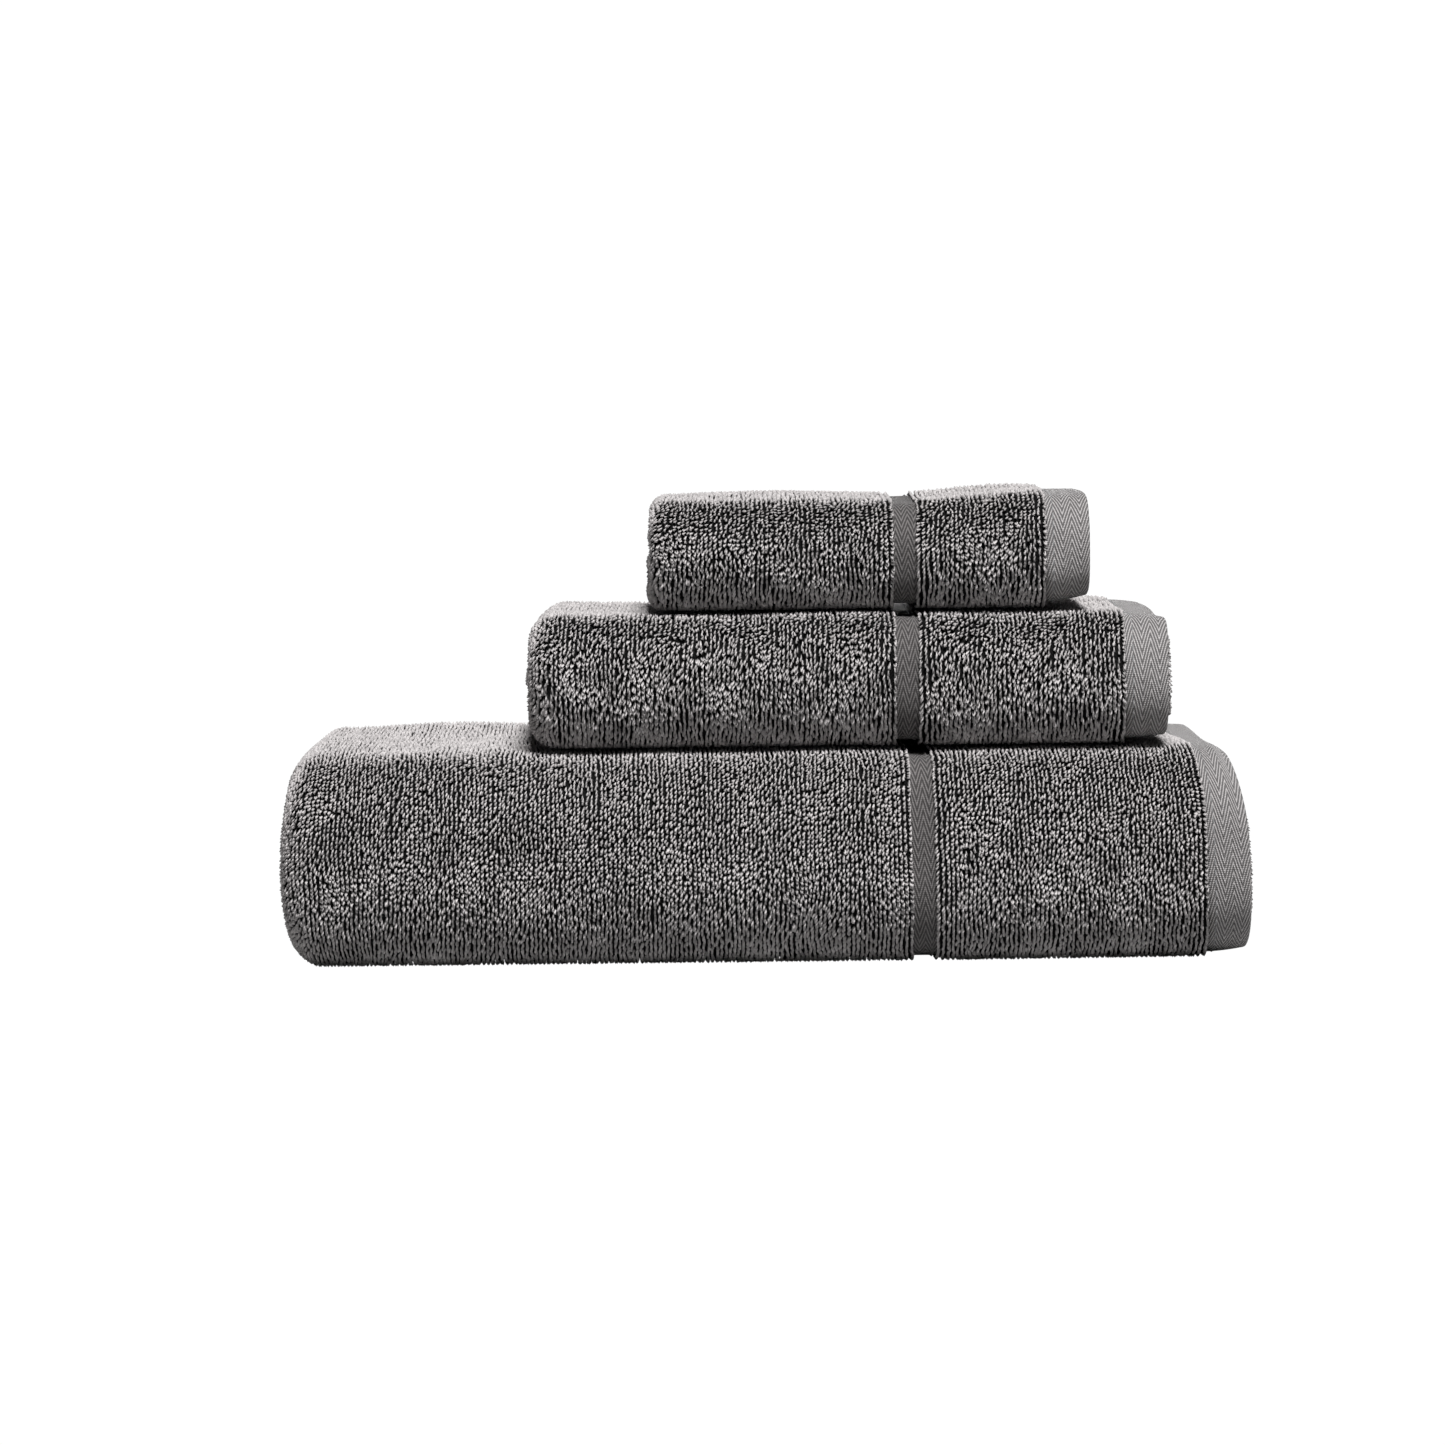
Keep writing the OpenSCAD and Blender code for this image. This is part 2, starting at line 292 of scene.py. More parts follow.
        # The front fold is fuller than a half circle.
        fy, fz = (y - r) / r, (z - r) / r
        size = np.hypot(fy, fz)
        cos, sin = np.abs(fy) / np.maximum(size, 1e-9), np.abs(fz) / np.maximum(size, 1e-9)
        n = np.where(fz > 0, s["fullness"], s["foot"])
        n = n + (HEM_FULLNESS - n) * smooth(x, self.panel_x, self.length)
        full = np.where(fy < 0, (cos ** n + sin ** n) ** (-1 / n), 1.0)
        full = 1 + (full - 1) * smooth(size, 0.0, 0.8)
        y = r + (y - r) * full
        z = r + (z - r) * full
        # Both ends draw in towards the top, the floor and the corners in plan.
        q = np.abs(z - s["waist"] * self.height) / self.height * 2
        q_plan = np.abs(y / self.depth - 0.5) * 2
        left = np.clip(1 - x / s["end_reach"], 0, 1) ** 2
        top = z > s["waist"] * self.height
        pull = np.where(top, s["left_top"], s["left_foot"]) * np.clip(q, 0, 1.2) ** 2.2
        pull += s["left_plan"] * q_plan ** 5
        x = x + (pull - s["left_out"]) * left
        right = np.clip(1 - (self.length - x) / s["end_reach"], 0, 1) ** 1.5
        pull = np.where(top, s["right_top"], s["right_foot"]) * np.clip(q, 0, 1.2) ** 3
        pull += s["right_plan"] * q_plan ** 5
        x = x - pull * right
        # Towards the back both ends of the top lie further in, and the towel leans a little.
        share = np.clip(z / self.height, 0, 1)
        back = np.clip(y / self.depth, 0, 1) * share ** 2
        x = x + s["left_back"] * back * (1 - smooth(x, 0, 0.5 * self.length))
        x = x - s["right_back"] * back * smooth(x, 0.5 * self.length, self.length)
        x = x - s["lean"] * (share - 0.5) * smooth(x, 0.2 * self.length, self.length)
        # The top sinks a little, and at the left of the back it may stand higher.
        z = z - s["sag"] * share ** 2
        z = z + s["back_rise"] * back * (1 - smooth(x, 0.4 * self.length, 0.8 * self.length))
        # The hem's edge droops from the top and lifts off the floor.
        hem = np.clip((x - self.hem_x) / (self.length - self.hem_x), 0, 1.1)
        high = smooth(z / self.height, 0.35, 1.0)
        z = z - s["hem_droop"] * hem ** 2 * high
        z = z + s["hem_lift"] * hem ** 1.5 * (1 - z / self.height) ** 2
        # The panel beside the hem may stand up a little.
        rise = smooth(x, self.panel_x, self.panel_x + 0.8 * (self.hem_x - self.panel_x))
        z = z + s["panel_rise"] * rise * (z / self.height) ** 2
        # Slow swells and small dimples.
        share = np.clip(z / self.height, 0, 1)
        z = z + s["swell"] * self.swell.at(x, y) * share * (1 - s["pressed"] * share ** 8)
        bulge = self.dimple.at(x + 0.4 * y, z) * s["dimple"] + s["swell"] * self.swell.at(z, x)
        y = y + bulge * np.where(y < r, 1.0, 0.6) * np.sin(math.pi * np.clip(share, 0, 1))
        # The pile underneath is pressed flat.
        pressed = FLAT_PILE * np.exp(np.minimum(z / FLAT_PILE - 1, 0))
        return x, y, np.where(z < FLAT_PILE, pressed, z)

    def place(self, u, v, h):
        """Points of the object's frame, from places on the flat cloth."""
        shape = np.broadcast(u, v, h).shape
        u, v, h = (np.broadcast_to(c, shape).ravel().astype(float) for c in (u, v, h))
        x, depth = self.along(u, h)
        y, z = self.across(v, depth)
        x, y, z = self.settle(x, y, z)
        return np.stack([x, y, z], 1) + self.low

    def take_zones(self):
        """Where along the cloth the band, the panel and the hem lie, from the CAD nodes."""
        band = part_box(self.name + "_dobby_band")
        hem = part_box(self.name + "_end_hem")
        self.hem_u = self.high[0] - hem[0][0]
        self.band_u = (self.high[0] - band[1][0], self.high[0] - band[0][0])
        self.hem_x = hem[0][0] - self.low[0]
        self.panel_x = band[1][0] - self.low[0]

    def u_steps(self, u0, u1):
        """Steps along the cloth from u0 to u1, finer in the turns."""
        us = []
        start = 0.0
        for part in self.lengthwise:
            size = 0.9 * MM if part["turn"] else GRID
            end = start + part["length"]
            a, b = max(start, u0), min(end, u1)
            if b > a + 1e-6:
                us.extend(steps(a, b, size)[(1 if us else 0):])
            start = end
        return np.array(us)

    def u_of(self, part, share=0.0):
        """u at a share of the way along one straight or turn of the lengthwise plan."""
        before = sum(p["length"] for p in self.lengthwise[:part])
        return before + share * self.lengthwise[part]["length"]

    def v_of(self, part, share=0.0):
        """v at a share of the way along one straight or turn of the crosswise plan."""
        before = sum(p["length"] for p in self.crosswise[:part])
        return before + share * self.crosswise[part]["length"]


# ------------------------------------------------------------------ meshes

def add_mesh(name, points, faces, material, smooth_faces=True):
    """A mesh object from arrays; faces all have the same number of corners."""
    faces = np.asarray(faces, np.int32)
    corners = faces.shape[1]
    mesh = bpy.data.meshes.new(name)
    mesh.vertices.add(len(points))
    mesh.vertices.foreach_set("co", np.asarray(points, np.float32).ravel())
    mesh.loops.add(faces.size)
    mesh.loops.foreach_set("vertex_index", faces.ravel())
    mesh.polygons.add(len(faces))
    mesh.polygons.foreach_set("loop_start", np.arange(0, faces.size, corners, dtype=np.int32))
    mesh.polygons.foreach_set("use_smooth", np.full(len(faces), smooth_faces))
    mesh.update(calc_edges=True)
    mesh.materials.append(material)
    piece = bpy.data.objects.new(name, mesh)
    bpy.context.scene.collection.objects.link(piece)
    return piece


def add_values(piece, name, values):
    layer = piece.data.attributes.new(name, "FLOAT", "POINT")
    layer.data.foreach_set("value", np.asarray(values, np.float32))


def add_cloth_map(piece, u, v):
    """A UV map in centimetres of flat cloth, for the weave."""
    layer = piece.data.uv_layers.new(name="cloth")
    index = np.zeros(len(piece.data.loops), np.int32)
    piece.data.loops.foreach_get("vertex_index", index)
    flat = np.stack([u, v], 1)[index] / (10 * MM)
    layer.data.foreach_set("uv", flat.astype(np.float32).ravel())


def strip_of_cloth(name, towel, outline, strips, material):
    """Closed strips: a closed outline in (u, h) carried across the cloth along each strip's v."""
    outline = np.asarray(outline)
    n = len(outline)
    half = n // 2
    k = np.arange(half - 1)
    cap = np.stack([k, k + 1, n - 2 - k, n - 1 - k], 1)
    points, faces, flat = [], [], []
    first = 0
    for v in strips:
        m = len(v)
        u = np.repeat(outline[None, :, 0], m, 0)
        h = np.repeat(outline[None, :, 1], m, 0)
        across = np.repeat(np.asarray(v)[:, None], n, 1)
        points.append(towel.place(u, across, h))
        flat.append(np.stack([u.ravel(), across.ravel()], 1))
        i, j = np.meshgrid(np.arange(m - 1), np.arange(n), indexing="ij")
        a = i * n + j
        b = i * n + (j + 1) % n
        sides = np.stack([a, b, b + n, a + n], -1).reshape(-1, 4)
        faces.extend([sides + first, cap[:, ::-1] + first, cap + first + (m - 1) * n])
        first += m * n
    piece = add_mesh(name, np.concatenate(points), np.concatenate(faces), material)
    add_cloth_map(piece, *np.concatenate(flat).T)
    face_up(piece)
    return piece


def face_up(piece):
    """Turns the faces outward where the closed mesh is inside out."""
    mesh = piece.data
    mesh.calc_loop_triangles()
    co = np.zeros(len(mesh.vertices) * 3)
    mesh.vertices.foreach_get("co", co)
    co = co.reshape(-1, 3)
    tri = np.zeros(len(mesh.loop_triangles) * 3, np.int32)
    mesh.loop_triangles.foreach_get("vertices", tri)
    a, b, c = (co[tri.reshape(-1, 3)[:, i]] - co[0] for i in range(3))
    if (a * np.cross(b, c)).sum() < 0:
        mesh.flip_normals()


def steps(start, end, size):
    return np.linspace(start, end, max(2, int(math.ceil(abs(end - start) / size)) + 1))


def flat_outline(us, outer, inner):
    """Outline of a strip with straight faces at heights outer and inner."""
    us = np.asarray(us)
    there = np.stack([us, np.broadcast_to(outer, us.shape)], 1)
    back = np.stack([us[::-1], np.broadcast_to(inner, us.shape)], 1)
    return np.concatenate([there, back])


# ------------------------------------------------------------------ terry loops

def yarn_ring():
    """One unit loop: its rings' places along an arch, the arch's slope there, and a ring's angles."""
    t = np.linspace(0, math.pi, LOOP_RINGS)
    side, up = -np.cos(t), np.sin(t) ** 0.75
    slope = np.stack([np.sin(t), np.cos(t)], 1)
    slope[:, 1] *= 1.6
    slope /= np.linalg.norm(slope, axis=1)[:, None]
    turn = np.arange(LOOP_SIDES) / LOOP_SIDES * 2 * math.pi
    return side, up, slope, turn


def loop_faces(count):
    """The faces of a number of loops, open tubes whose ends stand in the ground weave."""
    k, s = np.meshgrid(np.arange(LOOP_RINGS - 1), np.arange(LOOP_SIDES), indexing="ij")
    a = k * LOOP_SIDES + s
    b = k * LOOP_SIDES + (s + 1) % LOOP_SIDES
    one = np.stack([a, b, b + LOOP_SIDES, a + LOOP_SIDES], -1).reshape(-1, 4)
    return (one[None] + np.arange(count)[:, None, None] * LOOP_RINGS * LOOP_SIDES).reshape(-1, 4)


def evenly(ends, pitch, place):
    """Values between two ends that lie a pitch apart on the folded cloth."""
    values = np.linspace(*ends, 4000)
    there = place(values)
    run = np.concatenate([[0], np.cumsum(np.linalg.norm(np.diff(there, axis=0), axis=1))])
    count = max(1, round(run[-1] / pitch))
    return np.interp((np.arange(count) + 0.5) * run[-1] / count, run, values)


def scatter(towel, u_range, v_range, rng):
    """Places of loops in slightly wandering rows and columns."""
    du, dv = towel.shape["loop_pitch"]
    stray = towel.shape["loop_stray"]
    columns = evenly(u_range, du, lambda u: towel.place(u, towel.v_of(3, 0.5), MM))
    rows = evenly(v_range, dv, lambda v: towel.place(sum(u_range) / 2, v, MM))
    u, v = np.meshgrid(columns, rows, indexing="ij")
    u, v = u.ravel(), v.ravel()
    wander = Ripples(int(rng.integers(1 << 30)), 7 * MM, 30 * MM)
    middle = np.clip(np.minimum(u - u_range[0], u_range[1] - u) / (4 * MM), 0, 1)
    free = 0.5 + 0.5 * middle
    u = u + (0.35 * wander.at(u, v) * middle + rng.normal(0, 1, len(u)) * free) * stray * du
    v = v + (1.2 * wander.at(v, u) + rng.normal(0, 1, len(v))) * stray * dv
    return u, v


def loops_on(towel, zone, u, v, edges, material, rng):
    """Terry loops at places (u, v) of the outer face."""
    s = towel.shape
    order = np.argsort(v // (4 * MM), kind="stable")
    u, v = u[order], v[order]
    count = len(u)
    side, up, slope, turn = yarn_ring()
    slant = Ripples(int(rng.integers(1 << 30)), 8 * MM, 34 * MM)
    angle = LOOP_ANGLE + s["loop_twist"] * (slant.at(u, v) + rng.normal(0, 0.7, count))
    height = s["loop_height"] * rng.uniform(0.86, 1.12, count)
    width = s["loop_width"] * rng.uniform(0.85, 1.15, count)
    yarn = s["yarn"] * rng.uniform(0.9, 1.1, count)
    lean_u = 0.30 * MM * slant.at(v, u) + rng.normal(0, 0.25 * MM, count)
    for edge, _ in edges:
        lean_u *= np.clip(np.abs(u - edge) / EDGE_FALL, 0.45, 1)
    fall = towel.fall(v)
    lean_v = rng.normal(0, 0.25 * MM, count) - s["droop"] * np.sign(fall) * np.abs(fall) ** 0.5
    for edge, out in edges:
        near = np.clip(1 - np.abs(u - edge) / EDGE_FALL, 0, 1)
        lean_u += out * EDGE_LEAN * near ** 1.5
        height *= 1 - 0.22 * near ** 3
    across = (0.5 * width[:, None] * side[None])[:, :, None]
    bend = slope[None, :, :]
    off = yarn[:, None, None] * np.cos(turn)[None, None, :]
    sideways = yarn[:, None, None] * np.sin(turn)[None, None, :]
    thin = (0.45 + 0.55 * up)[None, :, None]
    a = across - off * bend[:, :, 1:2] * thin
    rise = height[:, None, None] * up[None, :, None] + off * bend[:, :, 0:1] * thin
    b = sideways * thin
    tip = up[None, :, None] ** 1.4
    du = a * np.cos(angle)[:, None, None] - b * np.sin(angle)[:, None, None]
    dv = a * np.sin(angle)[:, None, None] + b * np.cos(angle)[:, None, None]
    du = du + lean_u[:, None, None] * tip
    dv = dv + lean_v[:, None, None] * tip
    base = 0.5 * GROUND_T - 0.1 * MM
    h = base + np.maximum(rise, -0.3 * MM)
    points = towel.place(u[:, None, None] + du, v[:, None, None] + dv, h)
    # tip, how high up its loop a point is, darkens the yarn's colour towards the foot as painted
    # shade.
    tips = np.broadcast_to(up[None, :, None], du.shape).ravel()
    tone = np.broadcast_to(rng.uniform(0, 1, count)[:, None, None], du.shape).ravel()
    pieces = []
    per = LOOP_RINGS * LOOP_SIDES
    parts = max(1, math.ceil(count / LOOPS_A_PIECE))
    for i in range(parts):
        first, last = i * count // parts, (i + 1) * count // parts
        name = f"{towel.name}_{zone}_loops_{i + 1}"
        chosen = slice(first * per, last * per)
        piece = add_mesh(name, points[chosen], loop_faces(last - first), material)
        add_values(piece, "tip", tips[chosen])
        add_values(piece, "tone", tone[chosen])
        pieces.append(piece)
    return pieces


# ------------------------------------------------------------------ materials

def new_material(name):
    material = bpy.data.materials.new(name)
    material.use_nodes = True
    tree = material.node_tree
    shader = tree.nodes["Principled BSDF"]
    return material, tree, shader


def node(tree, kind, **inputs):
    made = tree.nodes.new(kind)
    for key, value in inputs.items():
        if key in made.inputs:
            made.inputs[key].default_value = value
        else:
            setattr(made, key, value)
    return made


def math_node(tree, operation, a, b=None):
    made = tree.nodes.new("ShaderNodeMath")
    made.operation = operation
    for i, value in enumerate((a, b)):
        if value is None:
            continue
        if isinstance(value, (int, float)):
            made.inputs[i].default_value = value
        else:
            tree.links.new(value, made.inputs[i])
    return made.outputs[0]


def mix_colour(tree, factor, a, b, blend="MIX"):
    made = tree.nodes.new("ShaderNodeMix")
    made.data_type = "RGBA"
    made.blend_type = blend
    for socket, value in ((made.inputs[0], factor), (made.inputs[6], a), (made.inputs[7], b)):
        if isinstance(value, (int, float)):
            socket.default_value = value
        elif isinstance(value, tuple):
            socket.default_value = (*value, 1)
        else:
            tree.links.new(value, socket)
    return made.outputs[2]


def add_share(tree, value, share, total):
    """A total plus a share of a value."""
    return math_node(tree, "ADD", math_node(tree, "MULTIPLY", value, share), total)


def shaded(tree, colour, light):
    """A colour times a light value."""
    grey = node(tree, "ShaderNodeCombineColor")
    for i in range(3):
        tree.links.new(light, grey.inputs[i])
    return mix_colour(tree, 1.0, colour, grey.outputs[0], "MULTIPLY")


def noise(tree, vector, scale, detail=3.0, roughness=0.6):
    made = node(tree, "ShaderNodeTexNoise", Scale=scale, Detail=detail, Roughness=roughness)
    tree.links.new(vector, made.inputs["Vector"])
    return made.outputs["Fac"]


def terry_material(name, deep, bright):
    """Cotton yarn: bright and a little fuzzy at a loop's tip, and painted near black towards its foot
    as the shade deep between the loops.
    """
    material, tree, shader = new_material(name)
    place = node(tree, "ShaderNodeTexCoord").outputs["Object"]
    tip = node(tree, "ShaderNodeAttribute", attribute_name="tip").outputs["Fac"]
    tone = node(tree, "ShaderNodeAttribute", attribute_name="tone").outputs["Fac"]
    # Painted shade: the yarn's colour falls from its grey to near black down each loop, by how high
    # up it the point is, for the shade between the loops.
    head = tree.nodes.new("ShaderNodeMapRange")
    head.interpolation_type = "SMOOTHSTEP"
    head.inputs["From Min"].default_value = 0.35
    head.inputs["From Max"].default_value = 0.85
    tree.links.new(tip, head.inputs["Value"])
    colour = mix_colour(tree, head.outputs["Result"], deep, bright)
    cloud = noise(tree, place, 42.0, 2.0)
    fleck = noise(tree, place, 900.0, 2.0)
    light = add_share(tree, tone, 0.55, 0.50)
    light = add_share(tree, cloud, 0.26, light)
    light = add_share(tree, fleck, 0.20, light)
    tree.links.new(shaded(tree, colour, light), shader.inputs["Base Color"])
    shader.inputs["Roughness"].default_value = 0.88
    shader.inputs["Specular IOR Level"].default_value = 0.06
    shader.inputs["Sheen Weight"].default_value = 0.04
    shader.inputs["Sheen Roughness"].default_value = 0.45
    return material


def weave_material(name, shade, column, line_u, line_v, depth, sheen=0.15, gloss=0.25):
    """Herringbone twill over the cloth map: slanted lines that turn back in every column, the low
    lines between them painted darker as shade.

    column is the width of a column, and line_u and line_v the spacing of the lines along and
    across the cloth, in centimetres. depth, in metres, is how deep the bump is.
    """
    material, tree, shader = new_material(name)
    cloth = node(tree, "ShaderNodeUVMap", uv_map="cloth").outputs[0]
    split = node(tree, "ShaderNodeSeparateXYZ")
    tree.links.new(cloth, split.inputs[0])
    u, v = split.outputs[0], split.outputs[1]
    zigzag = math_node(tree, "PINGPONG", u, column)
    along = math_node(tree, "MULTIPLY", zigzag, 2 * math.pi / line_u)
    across = math_node(tree, "MULTIPLY", v, 2 * math.pi / line_v)
    twill = math_node(tree, "SINE", math_node(tree, "ADD", along, across))
    picks = math_node(tree, "SINE", math_node(tree, "MULTIPLY", v, 2 * math.pi / (0.2 * line_v)))
    raised = add_share(tree, twill, 0.5, 0.5)
    raised = add_share(tree, picks, 0.12, raised)
    place = node(tree, "ShaderNodeTexCoord").outputs["Object"]
    fuzz = noise(tree, place, 1700.0, 3.0)
    cloud = noise(tree, place, 50.0, 2.0)
    height = add_share(tree, fuzz, 0.55, raised)
    # Painted shade: the low lines of the twill fall to a tenth of the grey, for the shade in its
    # grooves, on top of the bump.
    light = add_share(tree, math_node(tree, "POWER", raised, 1.6), 1.25, 0.10)
    light = add_share(tree, cloud, 0.20, light)
    light = add_share(tree, fuzz, 0.40, light)
    tree.links.new(shaded(tree, shade, light), shader.inputs["Base Color"])
    tree.links.new(add_share(tree, fuzz, 0.2, 0.7), shader.inputs["Roughness"])
    bump = node(tree, "ShaderNodeBump", Strength=0.9, Distance=depth)
    tree.links.new(height, bump.inputs["Height"])
    tree.links.new(bump.outputs[0], shader.inputs["Normal"])
    shader.inputs["Specular IOR Level"].default_value = gloss
    shader.inputs["Sheen Weight"].default_value = sheen
    shader.inputs["Sheen Roughness"].default_value = 0.4
    return material


def thread_material(name, shade):
    """Twisted sewing thread."""
    material, tree, shader = new_material(name)
    place = node(tree, "ShaderNodeTexCoord").outputs["Object"]
    strands = noise(tree, place, 2600.0, 2.0)
    colour = mix_colour(tree, strands, tuple(0.7 * c for c in shade), tuple(1.2 * c for c in shade))
    tree.links.new(colour, shader.inputs["Base Color"])
    bump = node(tree, "ShaderNodeBump", Strength=0.5, Distance=0.1 * MM)
    tree.links.new(strands, bump.inputs["Height"])
    tree.links.new(bump.outputs[0], shader.inputs["Normal"])
    shader.inputs["Roughness"].default_value = 0.6
    shader.inputs["Sheen Weight"].default_value = 0.15
    return material


# ------------------------------------------------------------------ the parts of a towel

def declare(towel, piece, node_name):
    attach(piece, towel.body)
    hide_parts(node_name)


def ride_all(towel, pieces):
    for piece in pieces:
        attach(piece, towel.body)


def v_steps(towel, inset=0.0):
    """Steps across the cloth, fine enough for the folds."""
    return steps(inset, towel.v_end - inset, GRID)


def ground(towel, node_name, u0, u1, materials):
    """The ground weave of one stretch of the cloth, a thin closed sheet."""
    half = GROUND_T / 2
    outline = flat_outline(towel.u_steps(u0, u1), half, -half)
    rows = [v_steps(towel, MM)]
    return strip_of_cloth(node_name + "_cloth", towel, outline, rows, materials["ground"])


def band(towel, materials):
    """The flat woven band, with fine raised cords; it runs on a little inside the terry's weave."""
    u0, u1 = towel.band_u
    us = steps(u0 - TUCK, u1 + TUCK, FINE_GRID)
    half = GROUND_T / 2
    shown = smooth(us, u0 - 0.4 * TUCK, u0) * smooth(-us, -u1 - 0.4 * TUCK, -u1)
    outer = half - TUCK_THINNER * (1 - shown)
    inner = -half + TUCK_THINNER * (1 - shown)
    for place, height in CORDS:
        middle = u0 + place * (u1 - u0)
        outer += height * np.exp(-((us - middle) / CORD_W) ** 2)
    outline = flat_outline(us, outer, inner[::-1])
    name = towel.name + "_dobby_band"
    piece = strip_of_cloth(name + "_weave", towel, outline, [v_steps(towel)], materials["band"])
    declare(towel, piece, name)
    return piece


def hem_outline(u0, u1, outer, inner, round_at_start):
    """A hem's outline: flat faces, with one round edge where the cloth is turned over."""
    t = outer - inner
    r = t / 2
    mid = (outer + inner) / 2
    a = np.linspace(0, math.pi, 9)
    straight = steps(u0 + r, u1, 2 * MM)
    swell = 0.10 * MM * np.sin(math.pi * (straight - straight[0]) / (straight[-1] - straight[0]))
    top = np.stack([straight, outer + swell], 1)
    under = np.stack([straight[::-1], inner - swell[::-1]], 1)
    edge = np.stack([u0 + r - r * np.sin(a), mid - r * np.cos(a)], 1)[1:-1]
    outline = np.concatenate([under, edge, top])
    if not round_at_start:
        outline[:, 0] = u0 + u1 - outline[:, 0]
        outline = outline[::-1]
    # The caps pair the first point with the last, the second with the last but one, and so on,
    # so an odd count loses a point of the round edge.
    if len(outline) % 2:
        outline = np.delete(outline, len(under) + len(edge) // 2 + 1, 0)
    return outline


def hem(towel, node_name, u0, u1, at_start, materials):
    """A hem, turned over twice, with its free edge round; its outer face is level with the band."""
    outline = hem_outline(u0, u1, HEM_LEVEL, HEM_LEVEL - HEM_T, at_start)
    piece = strip_of_cloth(
        node_name + "_weave", towel, outline, [v_steps(towel)], materials["weave"]
    )
    declare(towel, piece, node_name)
    return piece


def stitch_row(towel, name, u, v0, v1, lift, material):
    """Lockstitches of thread in a row across the cloth, each sinking into the weave at its ends."""
    pitch, length, r = 3.0 * MM, 2.5 * MM, 0.24 * MM
    middles = np.arange(v0 + pitch, v1 - pitch, pitch)
    rings, sides = 7, 6
    t = np.linspace(-1, 1, rings)
    turn = np.arange(sides) / sides * 2 * math.pi
    bow = lift + 0.10 * MM - 0.45 * MM * t ** 4
    size = r * (1 - 0.5 * t ** 6)
    v = middles[:, None, None] + (0.5 * length * t)[None, :, None] + np.zeros(sides)
    du = size[None, :, None] * np.cos(turn)[None, None, :] + np.zeros_like(v)
    h = bow[None, :, None] + size[None, :, None] * np.sin(turn)[None, None, :] + 0 * v
    points = towel.place(u + du, v, h)
    k, s = np.meshgrid(np.arange(rings - 1), np.arange(sides), indexing="ij")
    a = k * sides + s
    b = k * sides + (s + 1) % sides
    one = np.stack([a, b, b + sides, a + sides], -1).reshape(-1, 4)
    ends = np.array([[3, 2, 1, 0], [5, 4, 3, 0]])
    far = (rings - 1) * sides
    ends = np.concatenate([ends, far + ends[:, ::-1]])
    one = np.concatenate([one, ends])
    per = rings * sides
    faces = (one[None] + np.arange(len(middles))[:, None, None] * per).reshape(-1, 4)
    return add_mesh(name, points, faces, material)


def keep_seen(towel, u, v, rng):
    """Which loops to keep: not those deep inside, and few of those under the bath towel."""
    x, _ = towel.along(u, np.zeros_like(u))
    near_end = (x > towel.length - SEEN_RIGHT) | (x < SEEN_LEFT)
    inner = v < towel.v_of(1) - SEEN_BACK
    if towel.strips == 4:
        inner |= v > towel.v_of(6) + SEEN_BACK
    keep = ~inner | near_end
    if towel.name == "bath":
        under = (v > towel.v_of(2) + UNDER_BACK) & (v < towel.v_of(3) - UNDER_FRONT)
        middle = (x > UNDER_LEFT) & (x < towel.length - UNDER_RIGHT)
        keep &= ~(under & middle) | (rng.uniform(0, 1, len(v)) < UNDER_SHARE)
    return keep


def terry(towel, zone, ranges, edges, material, rng):
    """Loops over ranges (u0, u1, v0, v1) of the cloth, kept between the side hems."""
    inset = SIDE_HEM_W + LOOP_INSET
    places = []
    for u0, u1, v0, v1 in ranges:
        v0 = max(v0, inset)
        v1 = min(v1, towel.v_end - inset)
        places.append(np.stack(scatter(towel, (u0, u1), (v0, v1), rng)))
    u, v = np.concatenate(places, 1)
    keep = keep_seen(towel, u, v, rng)
    return loops_on(towel, zone, u[keep], v[keep], edges, material, rng)


def side_hems(towel, materials):
    """The two turned side edges, along the whole cloth between its hems."""
    node_name = towel.name + "_side_hems"
    u0, u1 = towel.hem_u, towel.u_end - towel.hem_u
    half = SIDE_HEM_T / 2
    outline = flat_outline(towel.u_steps(u0, u1), half, -half)
    strips = [
        np.linspace(0, SIDE_HEM_W, 6),
        np.linspace(towel.v_end - SIDE_HEM_W, towel.v_end, 6),
    ]
    piece = strip_of_cloth(node_name + "_weave", towel, outline, strips, materials["weave"])
    declare(towel, piece, node_name)
    return piece


